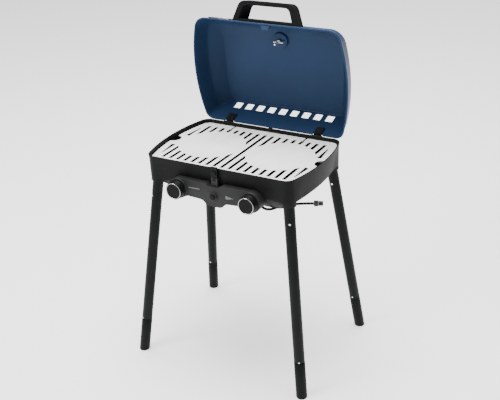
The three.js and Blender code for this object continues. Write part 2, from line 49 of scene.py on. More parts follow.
# ---- driving sizes, in millimetres, the same as the CAD frame's ----
HINGE_X, HINGE_Y, HINGE_Z = 154, 170.6, 660.0
SHIFT_Y = JOINTS["lid_hinge"]["pos_m"][1] / MM - HINGE_Y  # the frame's box is centred on the origin
LID_OPEN = radians(84.8)
RIM = dict(half=260, bow=562, front=-167.5, back=167.5, front_corner=30, back_corner=30)
BASE = dict(half=206, bow=562, front=-125, back=125, front_corner=30, back_corner=30)
GRATE = dict(half=251, bow=553, front=-161.5, back=161.5, front_corner=24, back_corner=24)
RIM_Z, WALL_FOOT_Z, BASE_Z, WALL = 663.5, 592.0, 552.0, 3.5
GRATE_TOP, GRATE_THICK, PLATE_SPLIT = 652.0, 4.3, 1
SLOT_HALF = 5.3  # the slots are a little wider than the CAD nodes' own
SLOT_PITCH, SLOT_REACH = 25, 134.5
DISC_X, DISC_Y, DISC_R = 116, 7, 102  # the solid round area of each plate
LID_Z, LID_BACK, LID_FRONT, LID_DEPTH, LID_FOLD, LID_WALL = 664.5, 169.5, -166.5, 100.0, 57.0, 3.0
FRONT_LEAN, FRONT_ROUND, ROOF_FRONT = 0.3, 60.0, -88.5
BOSS_X, BOSS_Z, BOSS_R = 119.5, 586.0, 31.0
PANEL_FACE, PANEL_TOP = -182.0, 617.0
KNOB_BACK, KNOB_FACE = -189.2, -208.0
IGNITER_Z = 582.0
SOCKET, FOOT = Vector((218.6, 140.9, 576.0)), Vector((282.0, 213.0, 0.0))
LEG_R, LEG_JOINT_Z, FOOT_TOP, LEG_SIDES = 16.0, 541.0, 112.0, 56
SIDES = {"left": -1, "right": 1}
CORNERS = {"front_left": (-1, -1), "front_right": (1, -1), "back_left": (-1, 1), "back_right": (1, 1)}


def place(x, y, z):
    """A point of the CAD drawing, in the frame's metres."""
    return Vector((x, y + SHIFT_Y, z)) * MM


def opened(point):
    """The same for a point of the lid, which is drawn closed and stands open at rest."""
    axis = Vector((0, HINGE_Y, HINGE_Z))
    turned = Matrix.Rotation(-LID_OPEN, 3, "X") @ (Vector(point) - axis) + axis
    return place(*turned)


# ---- camera, first ----
def camera():
    back = Vector((sin(AZ) * cos(EL), -cos(AZ) * cos(EL), sin(EL)))
    right = Vector((cos(AZ), sin(AZ), 0))
    up = back.cross(right)
    rolled_right = right * cos(ROLL) + up * sin(ROLL)
    rolled_up = up * cos(ROLL) - right * sin(ROLL)
    data = bpy.data.cameras.new("camera")
    data.sensor_width = 36
    data.lens = LENS
    cam = bpy.data.objects.new("camera", data)
    bpy.context.scene.collection.objects.link(cam)
    turn = Matrix((rolled_right, rolled_up, back)).transposed().to_4x4()
    cam.matrix_world = Matrix.Translation(AIM + back * DISTANCE) @ turn
    bpy.context.scene.camera = cam


AZ, EL, ROLL = radians(30.627), radians(25.553), radians(-2.707)
LENS, DISTANCE = 65.606, 2.7521
AIM = Vector((0.01117, SHIFT_Y * MM, 0.49332))
camera()


# ---- materials ----
def tone(color, share):
    return tuple(min(1, c * share) for c in color[:3]) + (1,)


def surface(name, color, rough, metal=0.0, mottle=0.12, mottle_size=18.0, grain=900.0, bump=0.05,
            brushed=None, edge_lightening=0.0, coat=0.0, rough_swing=0.08, specular=0.5):
    """A procedural finish: blotchy colour, fine grain in bump and roughness, brushing and colour made lighter on
    sharp edges.

    color is linear; mottle and rough_swing are how far colour and roughness wander; brushed is the stretch
    of the grain along each axis."""
    mat = bpy.data.materials.new(name)
    mat.use_nodes = True
    tree = mat.node_tree
    link = tree.links.new
    shader = tree.nodes["Principled BSDF"]
    shader.inputs["Metallic"].default_value = metal
    shader.inputs["Specular IOR Level"].default_value = specular
    shader.inputs["Coat Weight"].default_value = coat
    shader.inputs["Coat Roughness"].default_value = 0.25
    coords = tree.nodes.new("ShaderNodeTexCoord")
    stretch = tree.nodes.new("ShaderNodeMapping")
    stretch.inputs["Scale"].default_value = brushed or (1, 1, 1)
    link(coords.outputs["Object"], stretch.inputs["Vector"])

    def noise(size, detail, source):
        node = tree.nodes.new("ShaderNodeTexNoise")
        node.inputs["Scale"].default_value = size
        node.inputs["Detail"].default_value = detail
        link(source, node.inputs["Vector"])
        return node.outputs["Fac"]

    blotch = noise(mottle_size, 5, coords.outputs["Object"])
    fine = noise(grain, 3, stretch.outputs["Vector"])
    blend = tree.nodes.new("ShaderNodeMix")
    blend.inputs["Factor"].default_value = 0.45
    link(blotch, blend.inputs["A"])
    link(fine, blend.inputs["B"])
    ramp = tree.nodes.new("ShaderNodeValToRGB")
    ramp.color_ramp.elements[0].position = 0.34
    ramp.color_ramp.elements[1].position = 0.66
    ramp.color_ramp.elements[0].color = tone(color, 1 - mottle)
    ramp.color_ramp.elements[1].color = tone(color, 1 + mottle)
    link(blend.outputs["Result"], ramp.inputs["Fac"])
    base = ramp.outputs["Color"]
    # sharp convex edges (high pointiness) are made lighter in colour
    if edge_lightening:
        shape = tree.nodes.new("ShaderNodeNewGeometry")
        edge = tree.nodes.new("ShaderNodeMapRange")
        edge.inputs["From Min"].default_value = 0.52
        edge.inputs["From Max"].default_value = 0.62
        edge.inputs["To Max"].default_value = edge_lightening
        link(shape.outputs["Pointiness"], edge.inputs["Value"])
        lightened = tree.nodes.new("ShaderNodeMix")
        lightened.data_type = "RGBA"
        lightened.inputs["B"].default_value = tone(color, 2.2)
        link(edge.outputs["Result"], lightened.inputs["Factor"])
        link(base, lightened.inputs["A"])
        base = lightened.outputs["Result"]
    link(base, shader.inputs["Base Color"])
    roughness = tree.nodes.new("ShaderNodeMapRange")
    roughness.inputs["To Min"].default_value = rough - rough_swing
    roughness.inputs["To Max"].default_value = rough + rough_swing
    link(blend.outputs["Result"], roughness.inputs["Value"])
    link(roughness.outputs["Result"], shader.inputs["Roughness"])
    relief = tree.nodes.new("ShaderNodeBump")
    relief.inputs["Strength"].default_value = bump
    relief.inputs["Distance"].default_value = 0.0006
    link(fine, relief.inputs["Height"])
    link(relief.outputs["Normal"], shader.inputs["Normal"])
    return mat


def glass(name):
    mat = surface(name, (0.92, 0.95, 0.95), 0.06, rough_swing=0.02, mottle=0.02, bump=0.0)
    shader = mat.node_tree.nodes["Principled BSDF"]
    shader.inputs["Transmission Weight"].default_value = 0.9
    shader.inputs["IOR"].default_value = 1.45
    return mat


FINISHES = {
    "cast_dark": dict(color=(0.0085, 0.0092, 0.0089), rough=0.5, mottle=0.2, mottle_size=30, grain=700,
                      bump=0.25, edge_lightening=0.4, specular=0.05),
    "panel_plastic": dict(color=(0.022, 0.0228, 0.0226), rough=0.48, mottle=0.12, mottle_size=40,
                          grain=1400, bump=0.14, edge_lightening=0.2, specular=0.1),
    "steel_dark": dict(color=(0.0088, 0.0096, 0.0094), rough=0.4, mottle=0.16, mottle_size=24, grain=1200,
                       bump=0.1, edge_lightening=0.3, specular=0.06),
    "black_fitting": dict(color=(0.005, 0.005, 0.005), rough=0.38, mottle=0.2, mottle_size=60, bump=0.12,
                          edge_lightening=0.5, specular=0.3),
    "black_plastic": dict(color=(0.0052, 0.0055, 0.0057), rough=0.46, mottle=0.16, mottle_size=60,
                          grain=1300, bump=0.2, edge_lightening=0.2, specular=0.08),
    "steel": dict(color=(0.62, 0.63, 0.63), rough=0.28, metal=1.0, mottle=0.08, mottle_size=40, grain=600,
                  bump=0.1, brushed=(1, 0.05, 1)),
    "brass": dict(color=(0.5, 0.33, 0.11), rough=0.32, metal=1.0, mottle_size=50, grain=700, bump=0.08),
    "ceramic": dict(color=(0.8, 0.77, 0.7), rough=0.25, mottle=0.06, mottle_size=80, grain=500, bump=0.04,
                    coat=0.4),
    "cooking_plate": dict(color=(0.88, 0.885, 0.87), rough=0.42, metal=0.08, mottle=0.1, mottle_size=9,
                          grain=170, bump=0.12, brushed=(1, 0.03, 1)),
    "chrome": dict(color=(0.42, 0.42, 0.43), rough=0.16, metal=1.0, mottle=0.04, mottle_size=60, grain=800,
                   bump=0.03, rough_swing=0.04),
    "lid_blue": dict(color=(0.0155, 0.0362, 0.085), rough=0.4, metal=0.1, mottle=0.08, mottle_size=10,
                     grain=1500, bump=0.09, edge_lightening=0.3, specular=0.12),
}
MATERIALS = {name: surface(name, **finish) for name, finish in FINISHES.items()}
MATERIALS["clear_glass"] = glass("clear_glass")
DIAL_WHITE = surface("dial_face", (0.75, 0.76, 0.75), 0.5, 0.0, 0.04, 60, 900, 0.04)
MARK_GREY = surface("mark_grey", (0.16, 0.165, 0.165), 0.5, 0.0, 0.06, 90, 900, 0.04)
# painted shade: the cooking plates' slot walls get this near-black colour to stand for the shade inside the slots
SLOT_WALL_PAINTED_SHADE = surface("slot_wall_painted_shade", (0.02, 0.02, 0.02), 0.6, 0.0, 0.3, 60, 900, 0.2, specular=0.1)
NEEDLE_RED = surface("needle_red", (0.45, 0.03, 0.02), 0.4, 0.0, 0.08, 90, 900, 0.04)
SLOT_OF = {entry["node"]: entry["material_slot"] for entry in frame["record"]["subparts"]}


# ---- mesh helpers ----
def smooth(mesh, angle=32):
    mesh.shade_smooth()
    mesh.set_sharp_from_angle(angle=radians(angle))


def piece(name, points, faces, body, slot, replaced=(), material=None, edge=0.0, angle=32, segments=3):
    """One visible piece: points in metres, an optional rounded edge of that many millimetres."""
    mesh = bpy.data.meshes.new(name)
    mesh.from_pydata([tuple(p) for p in points], [], faces)
    tidy = bmesh.new()
    tidy.from_mesh(mesh)
    bmesh.ops.remove_doubles(tidy, verts=tidy.verts, dist=1e-6)
    bmesh.ops.recalc_face_normals(tidy, faces=tidy.faces)
    tidy.to_mesh(mesh)
    tidy.free()
    return finish_piece(name, mesh, body, slot, replaced, material, edge, angle, segments)


def finish_piece(name, mesh, body, slot, replaced=(), material=None, edge=0.0, angle=32, segments=3):
    mesh.materials.clear()
    mesh.materials.append(material or MATERIALS[slot])
    smooth(mesh, angle)
    obj = bpy.data.objects.new(name, mesh)
    bpy.context.scene.collection.objects.link(obj)
    if edge:
        round_edges(obj, edge, segments, angle)
    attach(obj, body)
    if replaced:
        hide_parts(*replaced)
    return obj


def round_edges(obj, width, segments=3, angle=32):
    bevel = obj.modifiers.new("rounded_edges", "BEVEL")
    bevel.width = width * MM
    bevel.segments = segments
    bevel.limit_method = "ANGLE"
    bevel.angle_limit = radians(angle)
    bevel.harden_normals = True


def skin(rings, closed=False, caps=True):
    """Points and faces of a body skinned over outlines with equal numbers of points."""
    size = len(rings[0])
    points = [p for ring in rings for p in ring]
    faces = []
    last = len(rings) if closed else len(rings) - 1
    for row in range(last):
        after = (row + 1) % len(rings)
        for i in range(size):
            j = (i + 1) % size
            faces.append((row * size + i, row * size + j, after * size + j, after * size + i))
    if caps and not closed:
        faces.append(tuple(range(size))[::-1])
        faces.append(tuple(range((len(rings) - 1) * size, len(rings) * size)))
    return points, faces


def plain_object(points, faces):
    mesh = bpy.data.meshes.new("tool")
    mesh.from_pydata([tuple(p) for p in points], [], faces)
    tidy = bmesh.new()
    tidy.from_mesh(mesh)
    bmesh.ops.recalc_face_normals(tidy, faces=tidy.faces)
    tidy.to_mesh(mesh)
    tidy.free()
    obj = bpy.data.objects.new("tool", mesh)
    bpy.context.scene.collection.objects.link(obj)
    return obj


def carved(solid, cutters, action="DIFFERENCE"):
    """The mesh of solid with each cutter taken away (or added); all are (points, faces)."""
    body = plain_object(*solid)
    tools = []
    for cutter in cutters:
        tool = plain_object(*cutter)
        tools.append(tool)
        change = body.modifiers.new("cut", "BOOLEAN")
        change.operation = action
        change.solver = "EXACT"
        change.object = tool
    depsgraph = bpy.context.evaluated_depsgraph_get()
    mesh = bpy.data.meshes.new_from_object(body.evaluated_get(depsgraph))
    for obj in [body, *tools]:
        bpy.data.objects.remove(obj)
    return mesh


def merged(parts):
    """One (points, faces) from several."""
    points, faces = [], []
    for more_points, more_faces in parts:
        start = len(points)
        points += more_points
        faces += [tuple(start + i for i in face) for face in more_faces]
    return points, faces


def arc_points(x, y, radius, start, end, steps):
    angles = [start + (end - start) * i / steps for i in range(steps)]
    return [(x + radius * cos(angle), y + radius * sin(angle)) for angle in angles]


def plan(shape, inset=0.0, corner_steps=10, side_steps=18):
    """The outline seen from above: bowed sides, straight front and back, rounded corners."""
    radius = shape["bow"] - inset
    middle = shape["half"] - shape["bow"]

    def corner(edge, wanted):
        rounding = max(wanted - inset, 4)
        y = edge - (1 if edge > 0 else -1) * (inset + rounding)
        return middle + sqrt((radius - rounding) ** 2 - y * y), y, rounding, asin(y / (radius - rounding))

    lx, ly, lr, la = corner(shape["front"], shape["front_corner"])
    hx, hy, hr, ha = corner(shape["back"], shape["back_corner"])
    points = arc_points(middle, 0, radius, la, ha, side_steps)
    points += arc_points(hx, hy, hr, ha, pi / 2, corner_steps)
    points += [(hx - 2 * hx * i / side_steps, hy + hr) for i in range(side_steps)]
    points += arc_points(-hx, hy, hr, pi / 2, pi - ha, corner_steps)
    points += arc_points(-middle, 0, radius, pi - ha, pi - la, side_steps)
    points += arc_points(-lx, ly, lr, pi - la, pi * 1.5, corner_steps)
    points += [(2 * lx * i / side_steps - lx, ly - lr) for i in range(side_steps)]
    points += arc_points(lx, ly, lr, -pi / 2, la, corner_steps)
    return points


def turned(profile, at, aim, sides=48, put=place):
    """A body of revolution: profile of (along, radius) from at towards aim, in CAD millimetres."""
    at, aim = Vector(at), Vector(aim).normalized()
    across = aim.orthogonal().normalized()
    other = aim.cross(across)
    rings = []
    for along, radius in profile:
        radius = max(radius, 0.02)
        spokes = [across * cos(2 * pi * i / sides) + other * sin(2 * pi * i / sides) for i in range(sides)]
        rings.append([put(*(at + aim * along + spoke * radius)) for spoke in spokes])
    return skin(rings)


def rounded(length, radius, edge, start=0.0, steps=4):
    """Profile of a bar whose two ends are rounded by edge."""
    quarter = [(edge * (1 - cos(pi / 2 * i / steps)), radius - edge + edge * sin(pi / 2 * i / steps))
               for i in range(steps + 1)]
    near = [(start, 0)] + [(start + a, r) for a, r in quarter]
    far = [(start + length - a, r) for a, r in reversed(quarter)] + [(start + length, 0)]
    return near + far


def block(x0, x1, y0, y1, z0, z1, put=place):
    corners = [put(x, y, z) for z in (z0, z1) for y in (y0, y1) for x in (x0, x1)]
    return corners, [(0, 2, 3, 1), (4, 5, 7, 6), (0, 1, 5, 4), (2, 6, 7, 3), (0, 4, 6, 2), (1, 3, 7, 5)]


def slab(outline, low, high, put):
    """An outline of (u, v) made solid between two levels; put turns (u, v, level) into a place."""
    return skin([[put(u, v, low) for u, v in outline], [put(u, v, high) for u, v in outline]])


def rounded_box(half_u, half_v, corner, u=0.0, v=0.0, steps=5):
    points = arc_points(u + half_u - corner, v + half_v - corner, corner, 0, pi / 2, steps)
    points += arc_points(u + corner - half_u, v + half_v - corner, corner, pi / 2, pi, steps)
    points += arc_points(u + corner - half_u, v + corner - half_v, corner, pi, 1.5 * pi, steps)
    return points + arc_points(u + half_u - corner, v + corner - half_v, corner, 1.5 * pi, 2 * pi, steps)


# ---- lid ----
def closed_lid(x, y, z):
    return opened((x, y, z))


def lid_outline(depth, front):
    low = depth <= LID_FOLD
    share = depth / LID_FOLD if low else (depth - LID_FOLD) / (LID_DEPTH - LID_FOLD)
    fraction = max(depth, 0) / LID_DEPTH
    return dict(half=260 - 14 * share if low else 246 - 38 * share, bow=562 if low else 562 + 288 * share,
                front=front, back=LID_BACK - 0.245 * depth,
                front_corner=40 + 12 * fraction, back_corner=28 - 16 * fraction)


def lid_levels():
    """Depth and front edge of each outline, from the rim to the roof."""
    levels = [(d, LID_FRONT + FRONT_LEAN * d) for d in (0, 3, 8, 24, 42, 54.5, 59.5)]
    wall_end, meet = LID_FRONT + FRONT_LEAN * FRONT_ROUND, LID_FRONT + FRONT_LEAN * LID_DEPTH
    for step in range(1, 12):
        t = step / 12
        levels.append((FRONT_ROUND * (1 - t) ** 2 + LID_DEPTH * t * (2 - t),
                       wall_end * (1 - t) ** 2 + meet * 2 * t * (1 - t) + ROOF_FRONT * t * t))
    return levels


def lid_ring(depth, front, inset):
    lift = inset * max(depth, 0) / LID_DEPTH
    return [closed_lid(x, y, LID_Z + depth - lift) for x, y in plan(lid_outline(depth, front), inset)]


def roof_edge(wall):
    """The rounded edge round the roof: depth short of the roof against the way in from its outline."""
    rings = []
    for drop, inset in ((2.0, -1.2), (1.1, -0.1), (0.4, 1.1), (0.05, 2.6)):
        ring = []
        for x, y in plan(lid_outline(LID_DEPTH, ROOF_FRONT), inset + wall):
            fade = min(max((y - ROOF_FRONT - 12) / 60, 0), 1)  # no edge where the front wall curls in
            ring.append(closed_lid(x, y, LID_Z + LID_DEPTH - drop * fade - wall))
        rings.append(ring)
    return rings


def build_lid():
    levels = lid_levels()
    bead = [(0.0, -0.6), (1.2, -1.6), (3.2, -1.8), (5.2, -1.2), (6.6, -0.2)]
    outer = [lid_ring(d, LID_FRONT + FRONT_LEAN * d, inset) for d, inset in bead]
    outer += [lid_ring(d, f, 0) for d, f in levels if d > 7] + roof_edge(0)
    inner = [lid_ring(d, f, LID_WALL) for d, f in levels if d > 0] + roof_edge(LID_WALL)
    lip = [lid_ring(-0.2, LID_FRONT, LID_WALL * 0.35), lid_ring(0.0, LID_FRONT, LID_WALL * 0.85)]
    shell = skin(list(reversed(outer)) + lip + inner)
    middle = LID_Z + 77
    cutters = [slab(rounded_box(12.75, 15, 2.6, (i - 4) * 40.4, middle), 120, 180,
                    lambda u, v, level: closed_lid(u, level, v)) for i in range(9)]
    for side in SIDES.values():
        near, far = side * HINGE_X - 16.5, side * HINGE_X + 16.5
        cutters.append(block(near, far, 158, 176, LID_Z - 3, LID_Z + 5.5, closed_lid))
    mesh = carved(shell, cutters)
    obj = finish_piece("lid_shell", mesh, "lid", "lid_blue", ["lid"], angle=24)
    round_edges(obj, 0.5, 2, 50)
    dial_y = LID_BACK - 252
    roof = LID_Z + LID_DEPTH
    boss = turned([(0, 0), (0, 22.5), (0.5, 23.8), (1.6, 24.5), (8.0, 24.8), (8.6, 27)] + [(8.8, 0)],
                  (0, dial_y, roof - 11), (0, 0, 1), 64, closed_lid)
    piece("lid_thermometer_boss", *boss, "lid", "lid_blue", edge=0)


build_lid()

LEAN = atan(FRONT_LEAN)


def on_front(x, up, out):
    """A place on the lid's front wall: x aside, up from the lid's edge, out from the wall."""
    y = LID_FRONT + up * sin(LEAN) - out * cos(LEAN)
    return closed_lid(x, y, LID_Z + up * cos(LEAN) + out * sin(LEAN))


def bail(foot, shoulder, low, high, corner):
    slope = (foot - shoulder) / (high - low)
    points = [(-foot, low), (foot, low)]
    for side in (1, -1):
        start = (shoulder + slope * corner, high - corner)
        end = (shoulder - corner, high)
        bend = []
        for i in range(9):
            t = i / 8
            bend.append(tuple(a * (1 - t) ** 2 + b * 2 * t * (1 - t) + c * t * t
                              for a, b, c in zip(start, (shoulder, high), end)))
        points += bend if side > 0 else [(-x, y) for x, y in reversed(bend)]
    return points


def build_handle():
    near, far, height = 5, 37, 62
    outer = bail(111, 88, 0.4, height, 18)
    body = skin([[on_front(x, far, y) for x, y in outer], [on_front(x, near, y) for x, y in outer]])
    front_gap, back_gap = bail(90, 75, 9, 50, 12), bail(71, 60, 9, 50, 12)
    window = skin([[on_front(x, far + 1, y) for x, y in back_gap],
                   [on_front(x, near - 1, y) for x, y in front_gap]])
    obj = finish_piece("lid_handle_grip", carved(body, [window]), "lid", "black_plastic", ["lid_handle"])
    round_edges(obj, 3.2, 5, 40)


build_handle()


def build_badge():
    badge = slab(rounded_box(37, 10, 4, -162, 20), 0.4, 3.4, lambda u, v, level: on_front(u, v, level))
    piece("lid_badge_plate", *badge, "lid", "chrome", ["lid_badge"], edge=0.8)
    field = slab(rounded_box(34, 7.4, 3, -162, 20), 3.3, 3.75, lambda u, v, level: on_front(u, v, level))
    piece("lid_badge_field", *field, "lid", "chrome", material=MARK_GREY, edge=0.2)


build_badge()
# painted shade: a near-black block on the lid's front edge stands for the shade in the catch's notch
catch_notch_painted_shade = block(11.6, 17, -163.6, -152, LID_Z + 2.6, LID_Z + 7.4, closed_lid)
piece("lid_catch_notch_painted_shade", *catch_notch_painted_shade, "lid", "black_fitting", edge=0.4)


def build_thermometer():
    dial_y, roof = LID_BACK - 252, LID_Z + LID_DEPTH
    disc = [(0, 0), (0, 20.6), (0.3, 20.8), (0.3, 0)]
    face = turned(disc, (0, dial_y, roof + 5.1), (0, 0, 1), 48, closed_lid)
    piece("thermometer_face", *face, "lid", "steel", material=DIAL_WHITE)
    ticks = []
    for i in range(11):
        angle = radians(-140 + 28 * i)
        along, across = Vector((sin(angle), cos(angle))), Vector((cos(angle), -sin(angle)))
        corners = [along * r + across * w for r, w in ((15, -0.4), (19, -0.4), (19, 0.4), (15, 0.4))]
        ticks.append(slab([(c.x, dial_y + c.y) for c in corners], roof + 5.3, roof + 5.55, closed_lid))
    piece("thermometer_ticks", *merged(ticks), "lid", "black_plastic")
    needle = slab([(-0.9, dial_y - 5), (0.9, dial_y - 5), (-7.4, dial_y + 14), (-7.8, dial_y + 13.6)],
                  roof + 5.6, roof + 5.9, closed_lid)
    piece("thermometer_needle", *needle, "lid", "black_plastic", material=NEEDLE_RED)
    wings = []
    for side in (-1, 1):
        outline = arc_points(side * 11.5, 0, 7, 0, 2 * pi, 24)
        wings.append(slab(outline, -1.3, 1.3,
                          lambda u, v, level: closed_lid(u, dial_y + level, roof - 21 + v * 0.8)))
    hub = turned([(-11.5, 0), (-11.5, 5.6), (-12.3, 6.2), (-17.5, 5.4), (-19, 4.6), (-19, 3.1), (-19.2, 0)],
                 (0, dial_y, roof), (0, 0, 1), 32, closed_lid)
    piece("thermometer_wing_nut", *merged([*wings, hub]), "lid", "steel", ["thermometer_nut"], edge=0.5)


build_thermometer()


# ---- firebox ----
def leg_axis(sign_x, sign_y, z):
    share = (SOCKET.z - z) / SOCKET.z
    return Vector((sign_x * (SOCKET.x + (FOOT.x - SOCKET.x) * share),
                   sign_y * (SOCKET.y + (FOOT.y - SOCKET.y) * share), z))


def ring_at(shape, inset, z):
    return [place(x, y, z) for x, y in plan(shape, inset)]


def pillar_ring(inset, z):
    """A wall outline whose corners stay out over the leg sockets."""
    ring = []
    for (x, y), (cx, cy) in zip(plan(RIM, inset), plan(RIM, min(inset, 1.6 + inset * 0.12))):
        reach = hypot(abs(cx) - 222, abs(cy) - 148)
        share = min(max((reach - 16) / 42, 0), 1)
        share = share * share * (3 - 2 * share)
        ring.append(place(cx + (x - cx) * share, cy + (y - cy) * share, z))
    return ring


def build_firebox():
    height = RIM_Z - WALL_FOOT_Z
    rings = [ring_at(BASE, 4, BASE_Z), ring_at(BASE, 0.8, BASE_Z + 1), ring_at(BASE, 0, BASE_Z + 4)]
    for share, drop in ((0.5, 0.47), (0.85, 0.82), (0.96, 0.95)):
        foot = plan(RIM, 10)
        base = plan(BASE)
        z = BASE_Z + (WALL_FOOT_Z - BASE_Z) * drop
        rings.append([place(bx + (fx - bx) * share, by + (fy - by) * share, z)
                      for (bx, by), (fx, fy) in zip(base, foot)])
    for z in (WALL_FOOT_Z + 1, WALL_FOOT_Z + 5, 612, 630, 648, RIM_Z - 3, RIM_Z - 1):
        rings.append(pillar_ring(10 * (RIM_Z - z) / height, z))
    rings += [ring_at(RIM, 0.9, RIM_Z), ring_at(RIM, WALL - 0.9, RIM_Z), ring_at(RIM, WALL, RIM_Z - 1)]
    rings += [ring_at(RIM, WALL + 10 * (RIM_Z - z) / height, z) for z in (648, 620, WALL_FOOT_Z + 3)]
    rings += [ring_at(BASE, WALL, BASE_Z + WALL + 4), ring_at(BASE, WALL + 4, BASE_Z + WALL)]
    shell = skin(rings)
    cutters = [turned([(0, 14), (20, 14)], (0, 20, 545), (0, 0, 1), 40)]
    for side in SIDES.values():
        cutters.append(turned([(0, 11.5), (45, 11.5)], (side * BOSS_X, -170, BOSS_Z), (0, 1, 0), 32))
    for sx, sy in CORNERS.values():
        foot = leg_axis(sx, sy, 560)
        cutters.append(turned([(0, 16.8), (72, 16.8)], foot, leg_axis(sx, sy, 640) - foot, 40))
    mesh = carved(shell, cutters)
    obj = finish_piece("firebox_shell", mesh, "firebox", "cast_dark", ["firebox"], angle=28)
    round_edges(obj, 0.4, 2, 60)
    for name, (sx, sy) in CORNERS.items():
        mouth = leg_axis(sx, sy, SOCKET.z)
        aim = leg_axis(sx, sy, 640) - mouth
        collar = [(0, 17), (0, 19.6), (0.5, 20.4), (1.5, 21), (34, 21.6), (70, 20.5), (71.5, 0), (62, 0),
                  (62, 17)]
        points, faces = turned(collar, mouth, aim, 48)
        faces = faces[:-2] + closing(len(collar), 48)
        piece(f"leg_socket_{name}", points, faces, "firebox", "cast_dark")
    lugs = [block(-14, 14, side * 161 - 5, side * 161 + 3, 636, 647.3) for side in SIDES.values()]
    lugs.append(block(-7, 7, 162, 165.4, 655, RIM_Z + 2.5))
    for side in SIDES.values():
        lugs.append(block(side * BOSS_X - 4, side * BOSS_X + 4, 94, 102, BASE_Z + 2, BOSS_Z - 9.3))
    piece("firebox_lugs", *merged(lugs), "firebox", "cast_dark", edge=1)


def closing(rows, sides):
    """Faces that join the last ring of a turned body to its first, leaving no caps."""
    start = (rows - 1) * sides
    return [(start + i, start + (i + 1) % sides, (i + 1) % sides, i) for i in range(sides)]


build_firebox()


# ---- cooking plates ----
def disc_edge(x):
    """Front and back of the solid round area, at x aside from the middle of the grill."""
    reach = sqrt(max(DISC_R ** 2 - (abs(x) - DISC_X) ** 2, 0))
    return DISC_Y - reach, DISC_Y + reach


def slot_outlines(x):
    """The two halves of a slot, in front of the solid round area and behind it."""
    near, far = x - SLOT_HALF, x + SLOT_HALF
    front = [(near, -SLOT_REACH), (far, -SLOT_REACH), (far, disc_edge(far)[0]), (near, disc_edge(near)[0])]
    back = [(near, disc_edge(near)[1]), (far, disc_edge(far)[1]), (far, SLOT_REACH), (near, SLOT_REACH)]
    return front, back


def build_grate(name, side):
    half = [(x, y) for x, y in plan(GRATE, 0, 12, 24) if x > 3]
    ordered = sorted(half, key=lambda p: Vector((p[0] - 60, p[1])).angle_signed(Vector((1, 0)), 0))
    ordered = [(PLATE_SPLIT, GRATE["front"])] + ordered + [(PLATE_SPLIT, GRATE["back"])]
    body = slab([(side * x, y) for x, y in ordered], GRATE_TOP - GRATE_THICK, GRATE_TOP, place)
    shared = [(-1, -SLOT_REACH), (SLOT_HALF, -SLOT_REACH), (SLOT_HALF, SLOT_REACH), (-1, SLOT_REACH)]
    openings = [[(side * x, y) for x, y in shared]]
    for i in range(1, 9):
        openings += slot_outlines(side * i * SLOT_PITCH)
    for end in (-1, 1):
        taper = [(218.5, 36), (231, 40), (221.5, 110), (218.5, 108)]
        openings.append([(side * x, end * y) for x, y in taper])
    slit = [(121.5, 130), (128.5, 130), (128.5, 170), (121.5, 170)]
    openings.append([(side * x, y) for x, y in slit])
    openings.append(arc_points(side * 252, 5, 23, 0, 2 * pi, 48))
    cutters = [slab(outline, GRATE_TOP - 12, GRATE_TOP + 8, place) for outline in openings]
    mesh = carved(body, cutters)
    obj = finish_piece(f"cooking_plate_{name}", mesh, f"grate_{name}", "cooking_plate", [f"grate_{name}"])
    # painted shade: the slots' side faces take the near-black material, because the slot walls lie in shade
    mesh.materials.append(SLOT_WALL_PAINTED_SHADE)
    for face in mesh.polygons:
        x, y = abs(face.center.x) / MM, abs(face.center.y / MM - SHIFT_Y)
        if abs(face.normal.z) < 0.5 and y < 140 and x < 232:
            face.material_index = 1
    round_edges(obj, 0.4, 3, 40)


for side_name, sign in SIDES.items():
    build_grate(side_name, sign)


# ---- control panel, knobs and igniter ----
def panel_outline():
    right = [(16, 610), (19, 611.2), (23, 615.8), (26, PANEL_TOP), (BOSS_X, PANEL_TOP)]
    angles = [pi / 2 - i * 0.13 for i in range(1, 26)]
    right += [(BOSS_X + BOSS_R * cos(angle), BOSS_Z + BOSS_R * sin(angle)) for angle in angles]
    right += [(88, 567), (50, 565), (42, 564), (36, 561.5), (31, 557), (27, 552.5), (22, 550), (17, 549)]
    return right + [(-x, z) for x, z in reversed(right)]


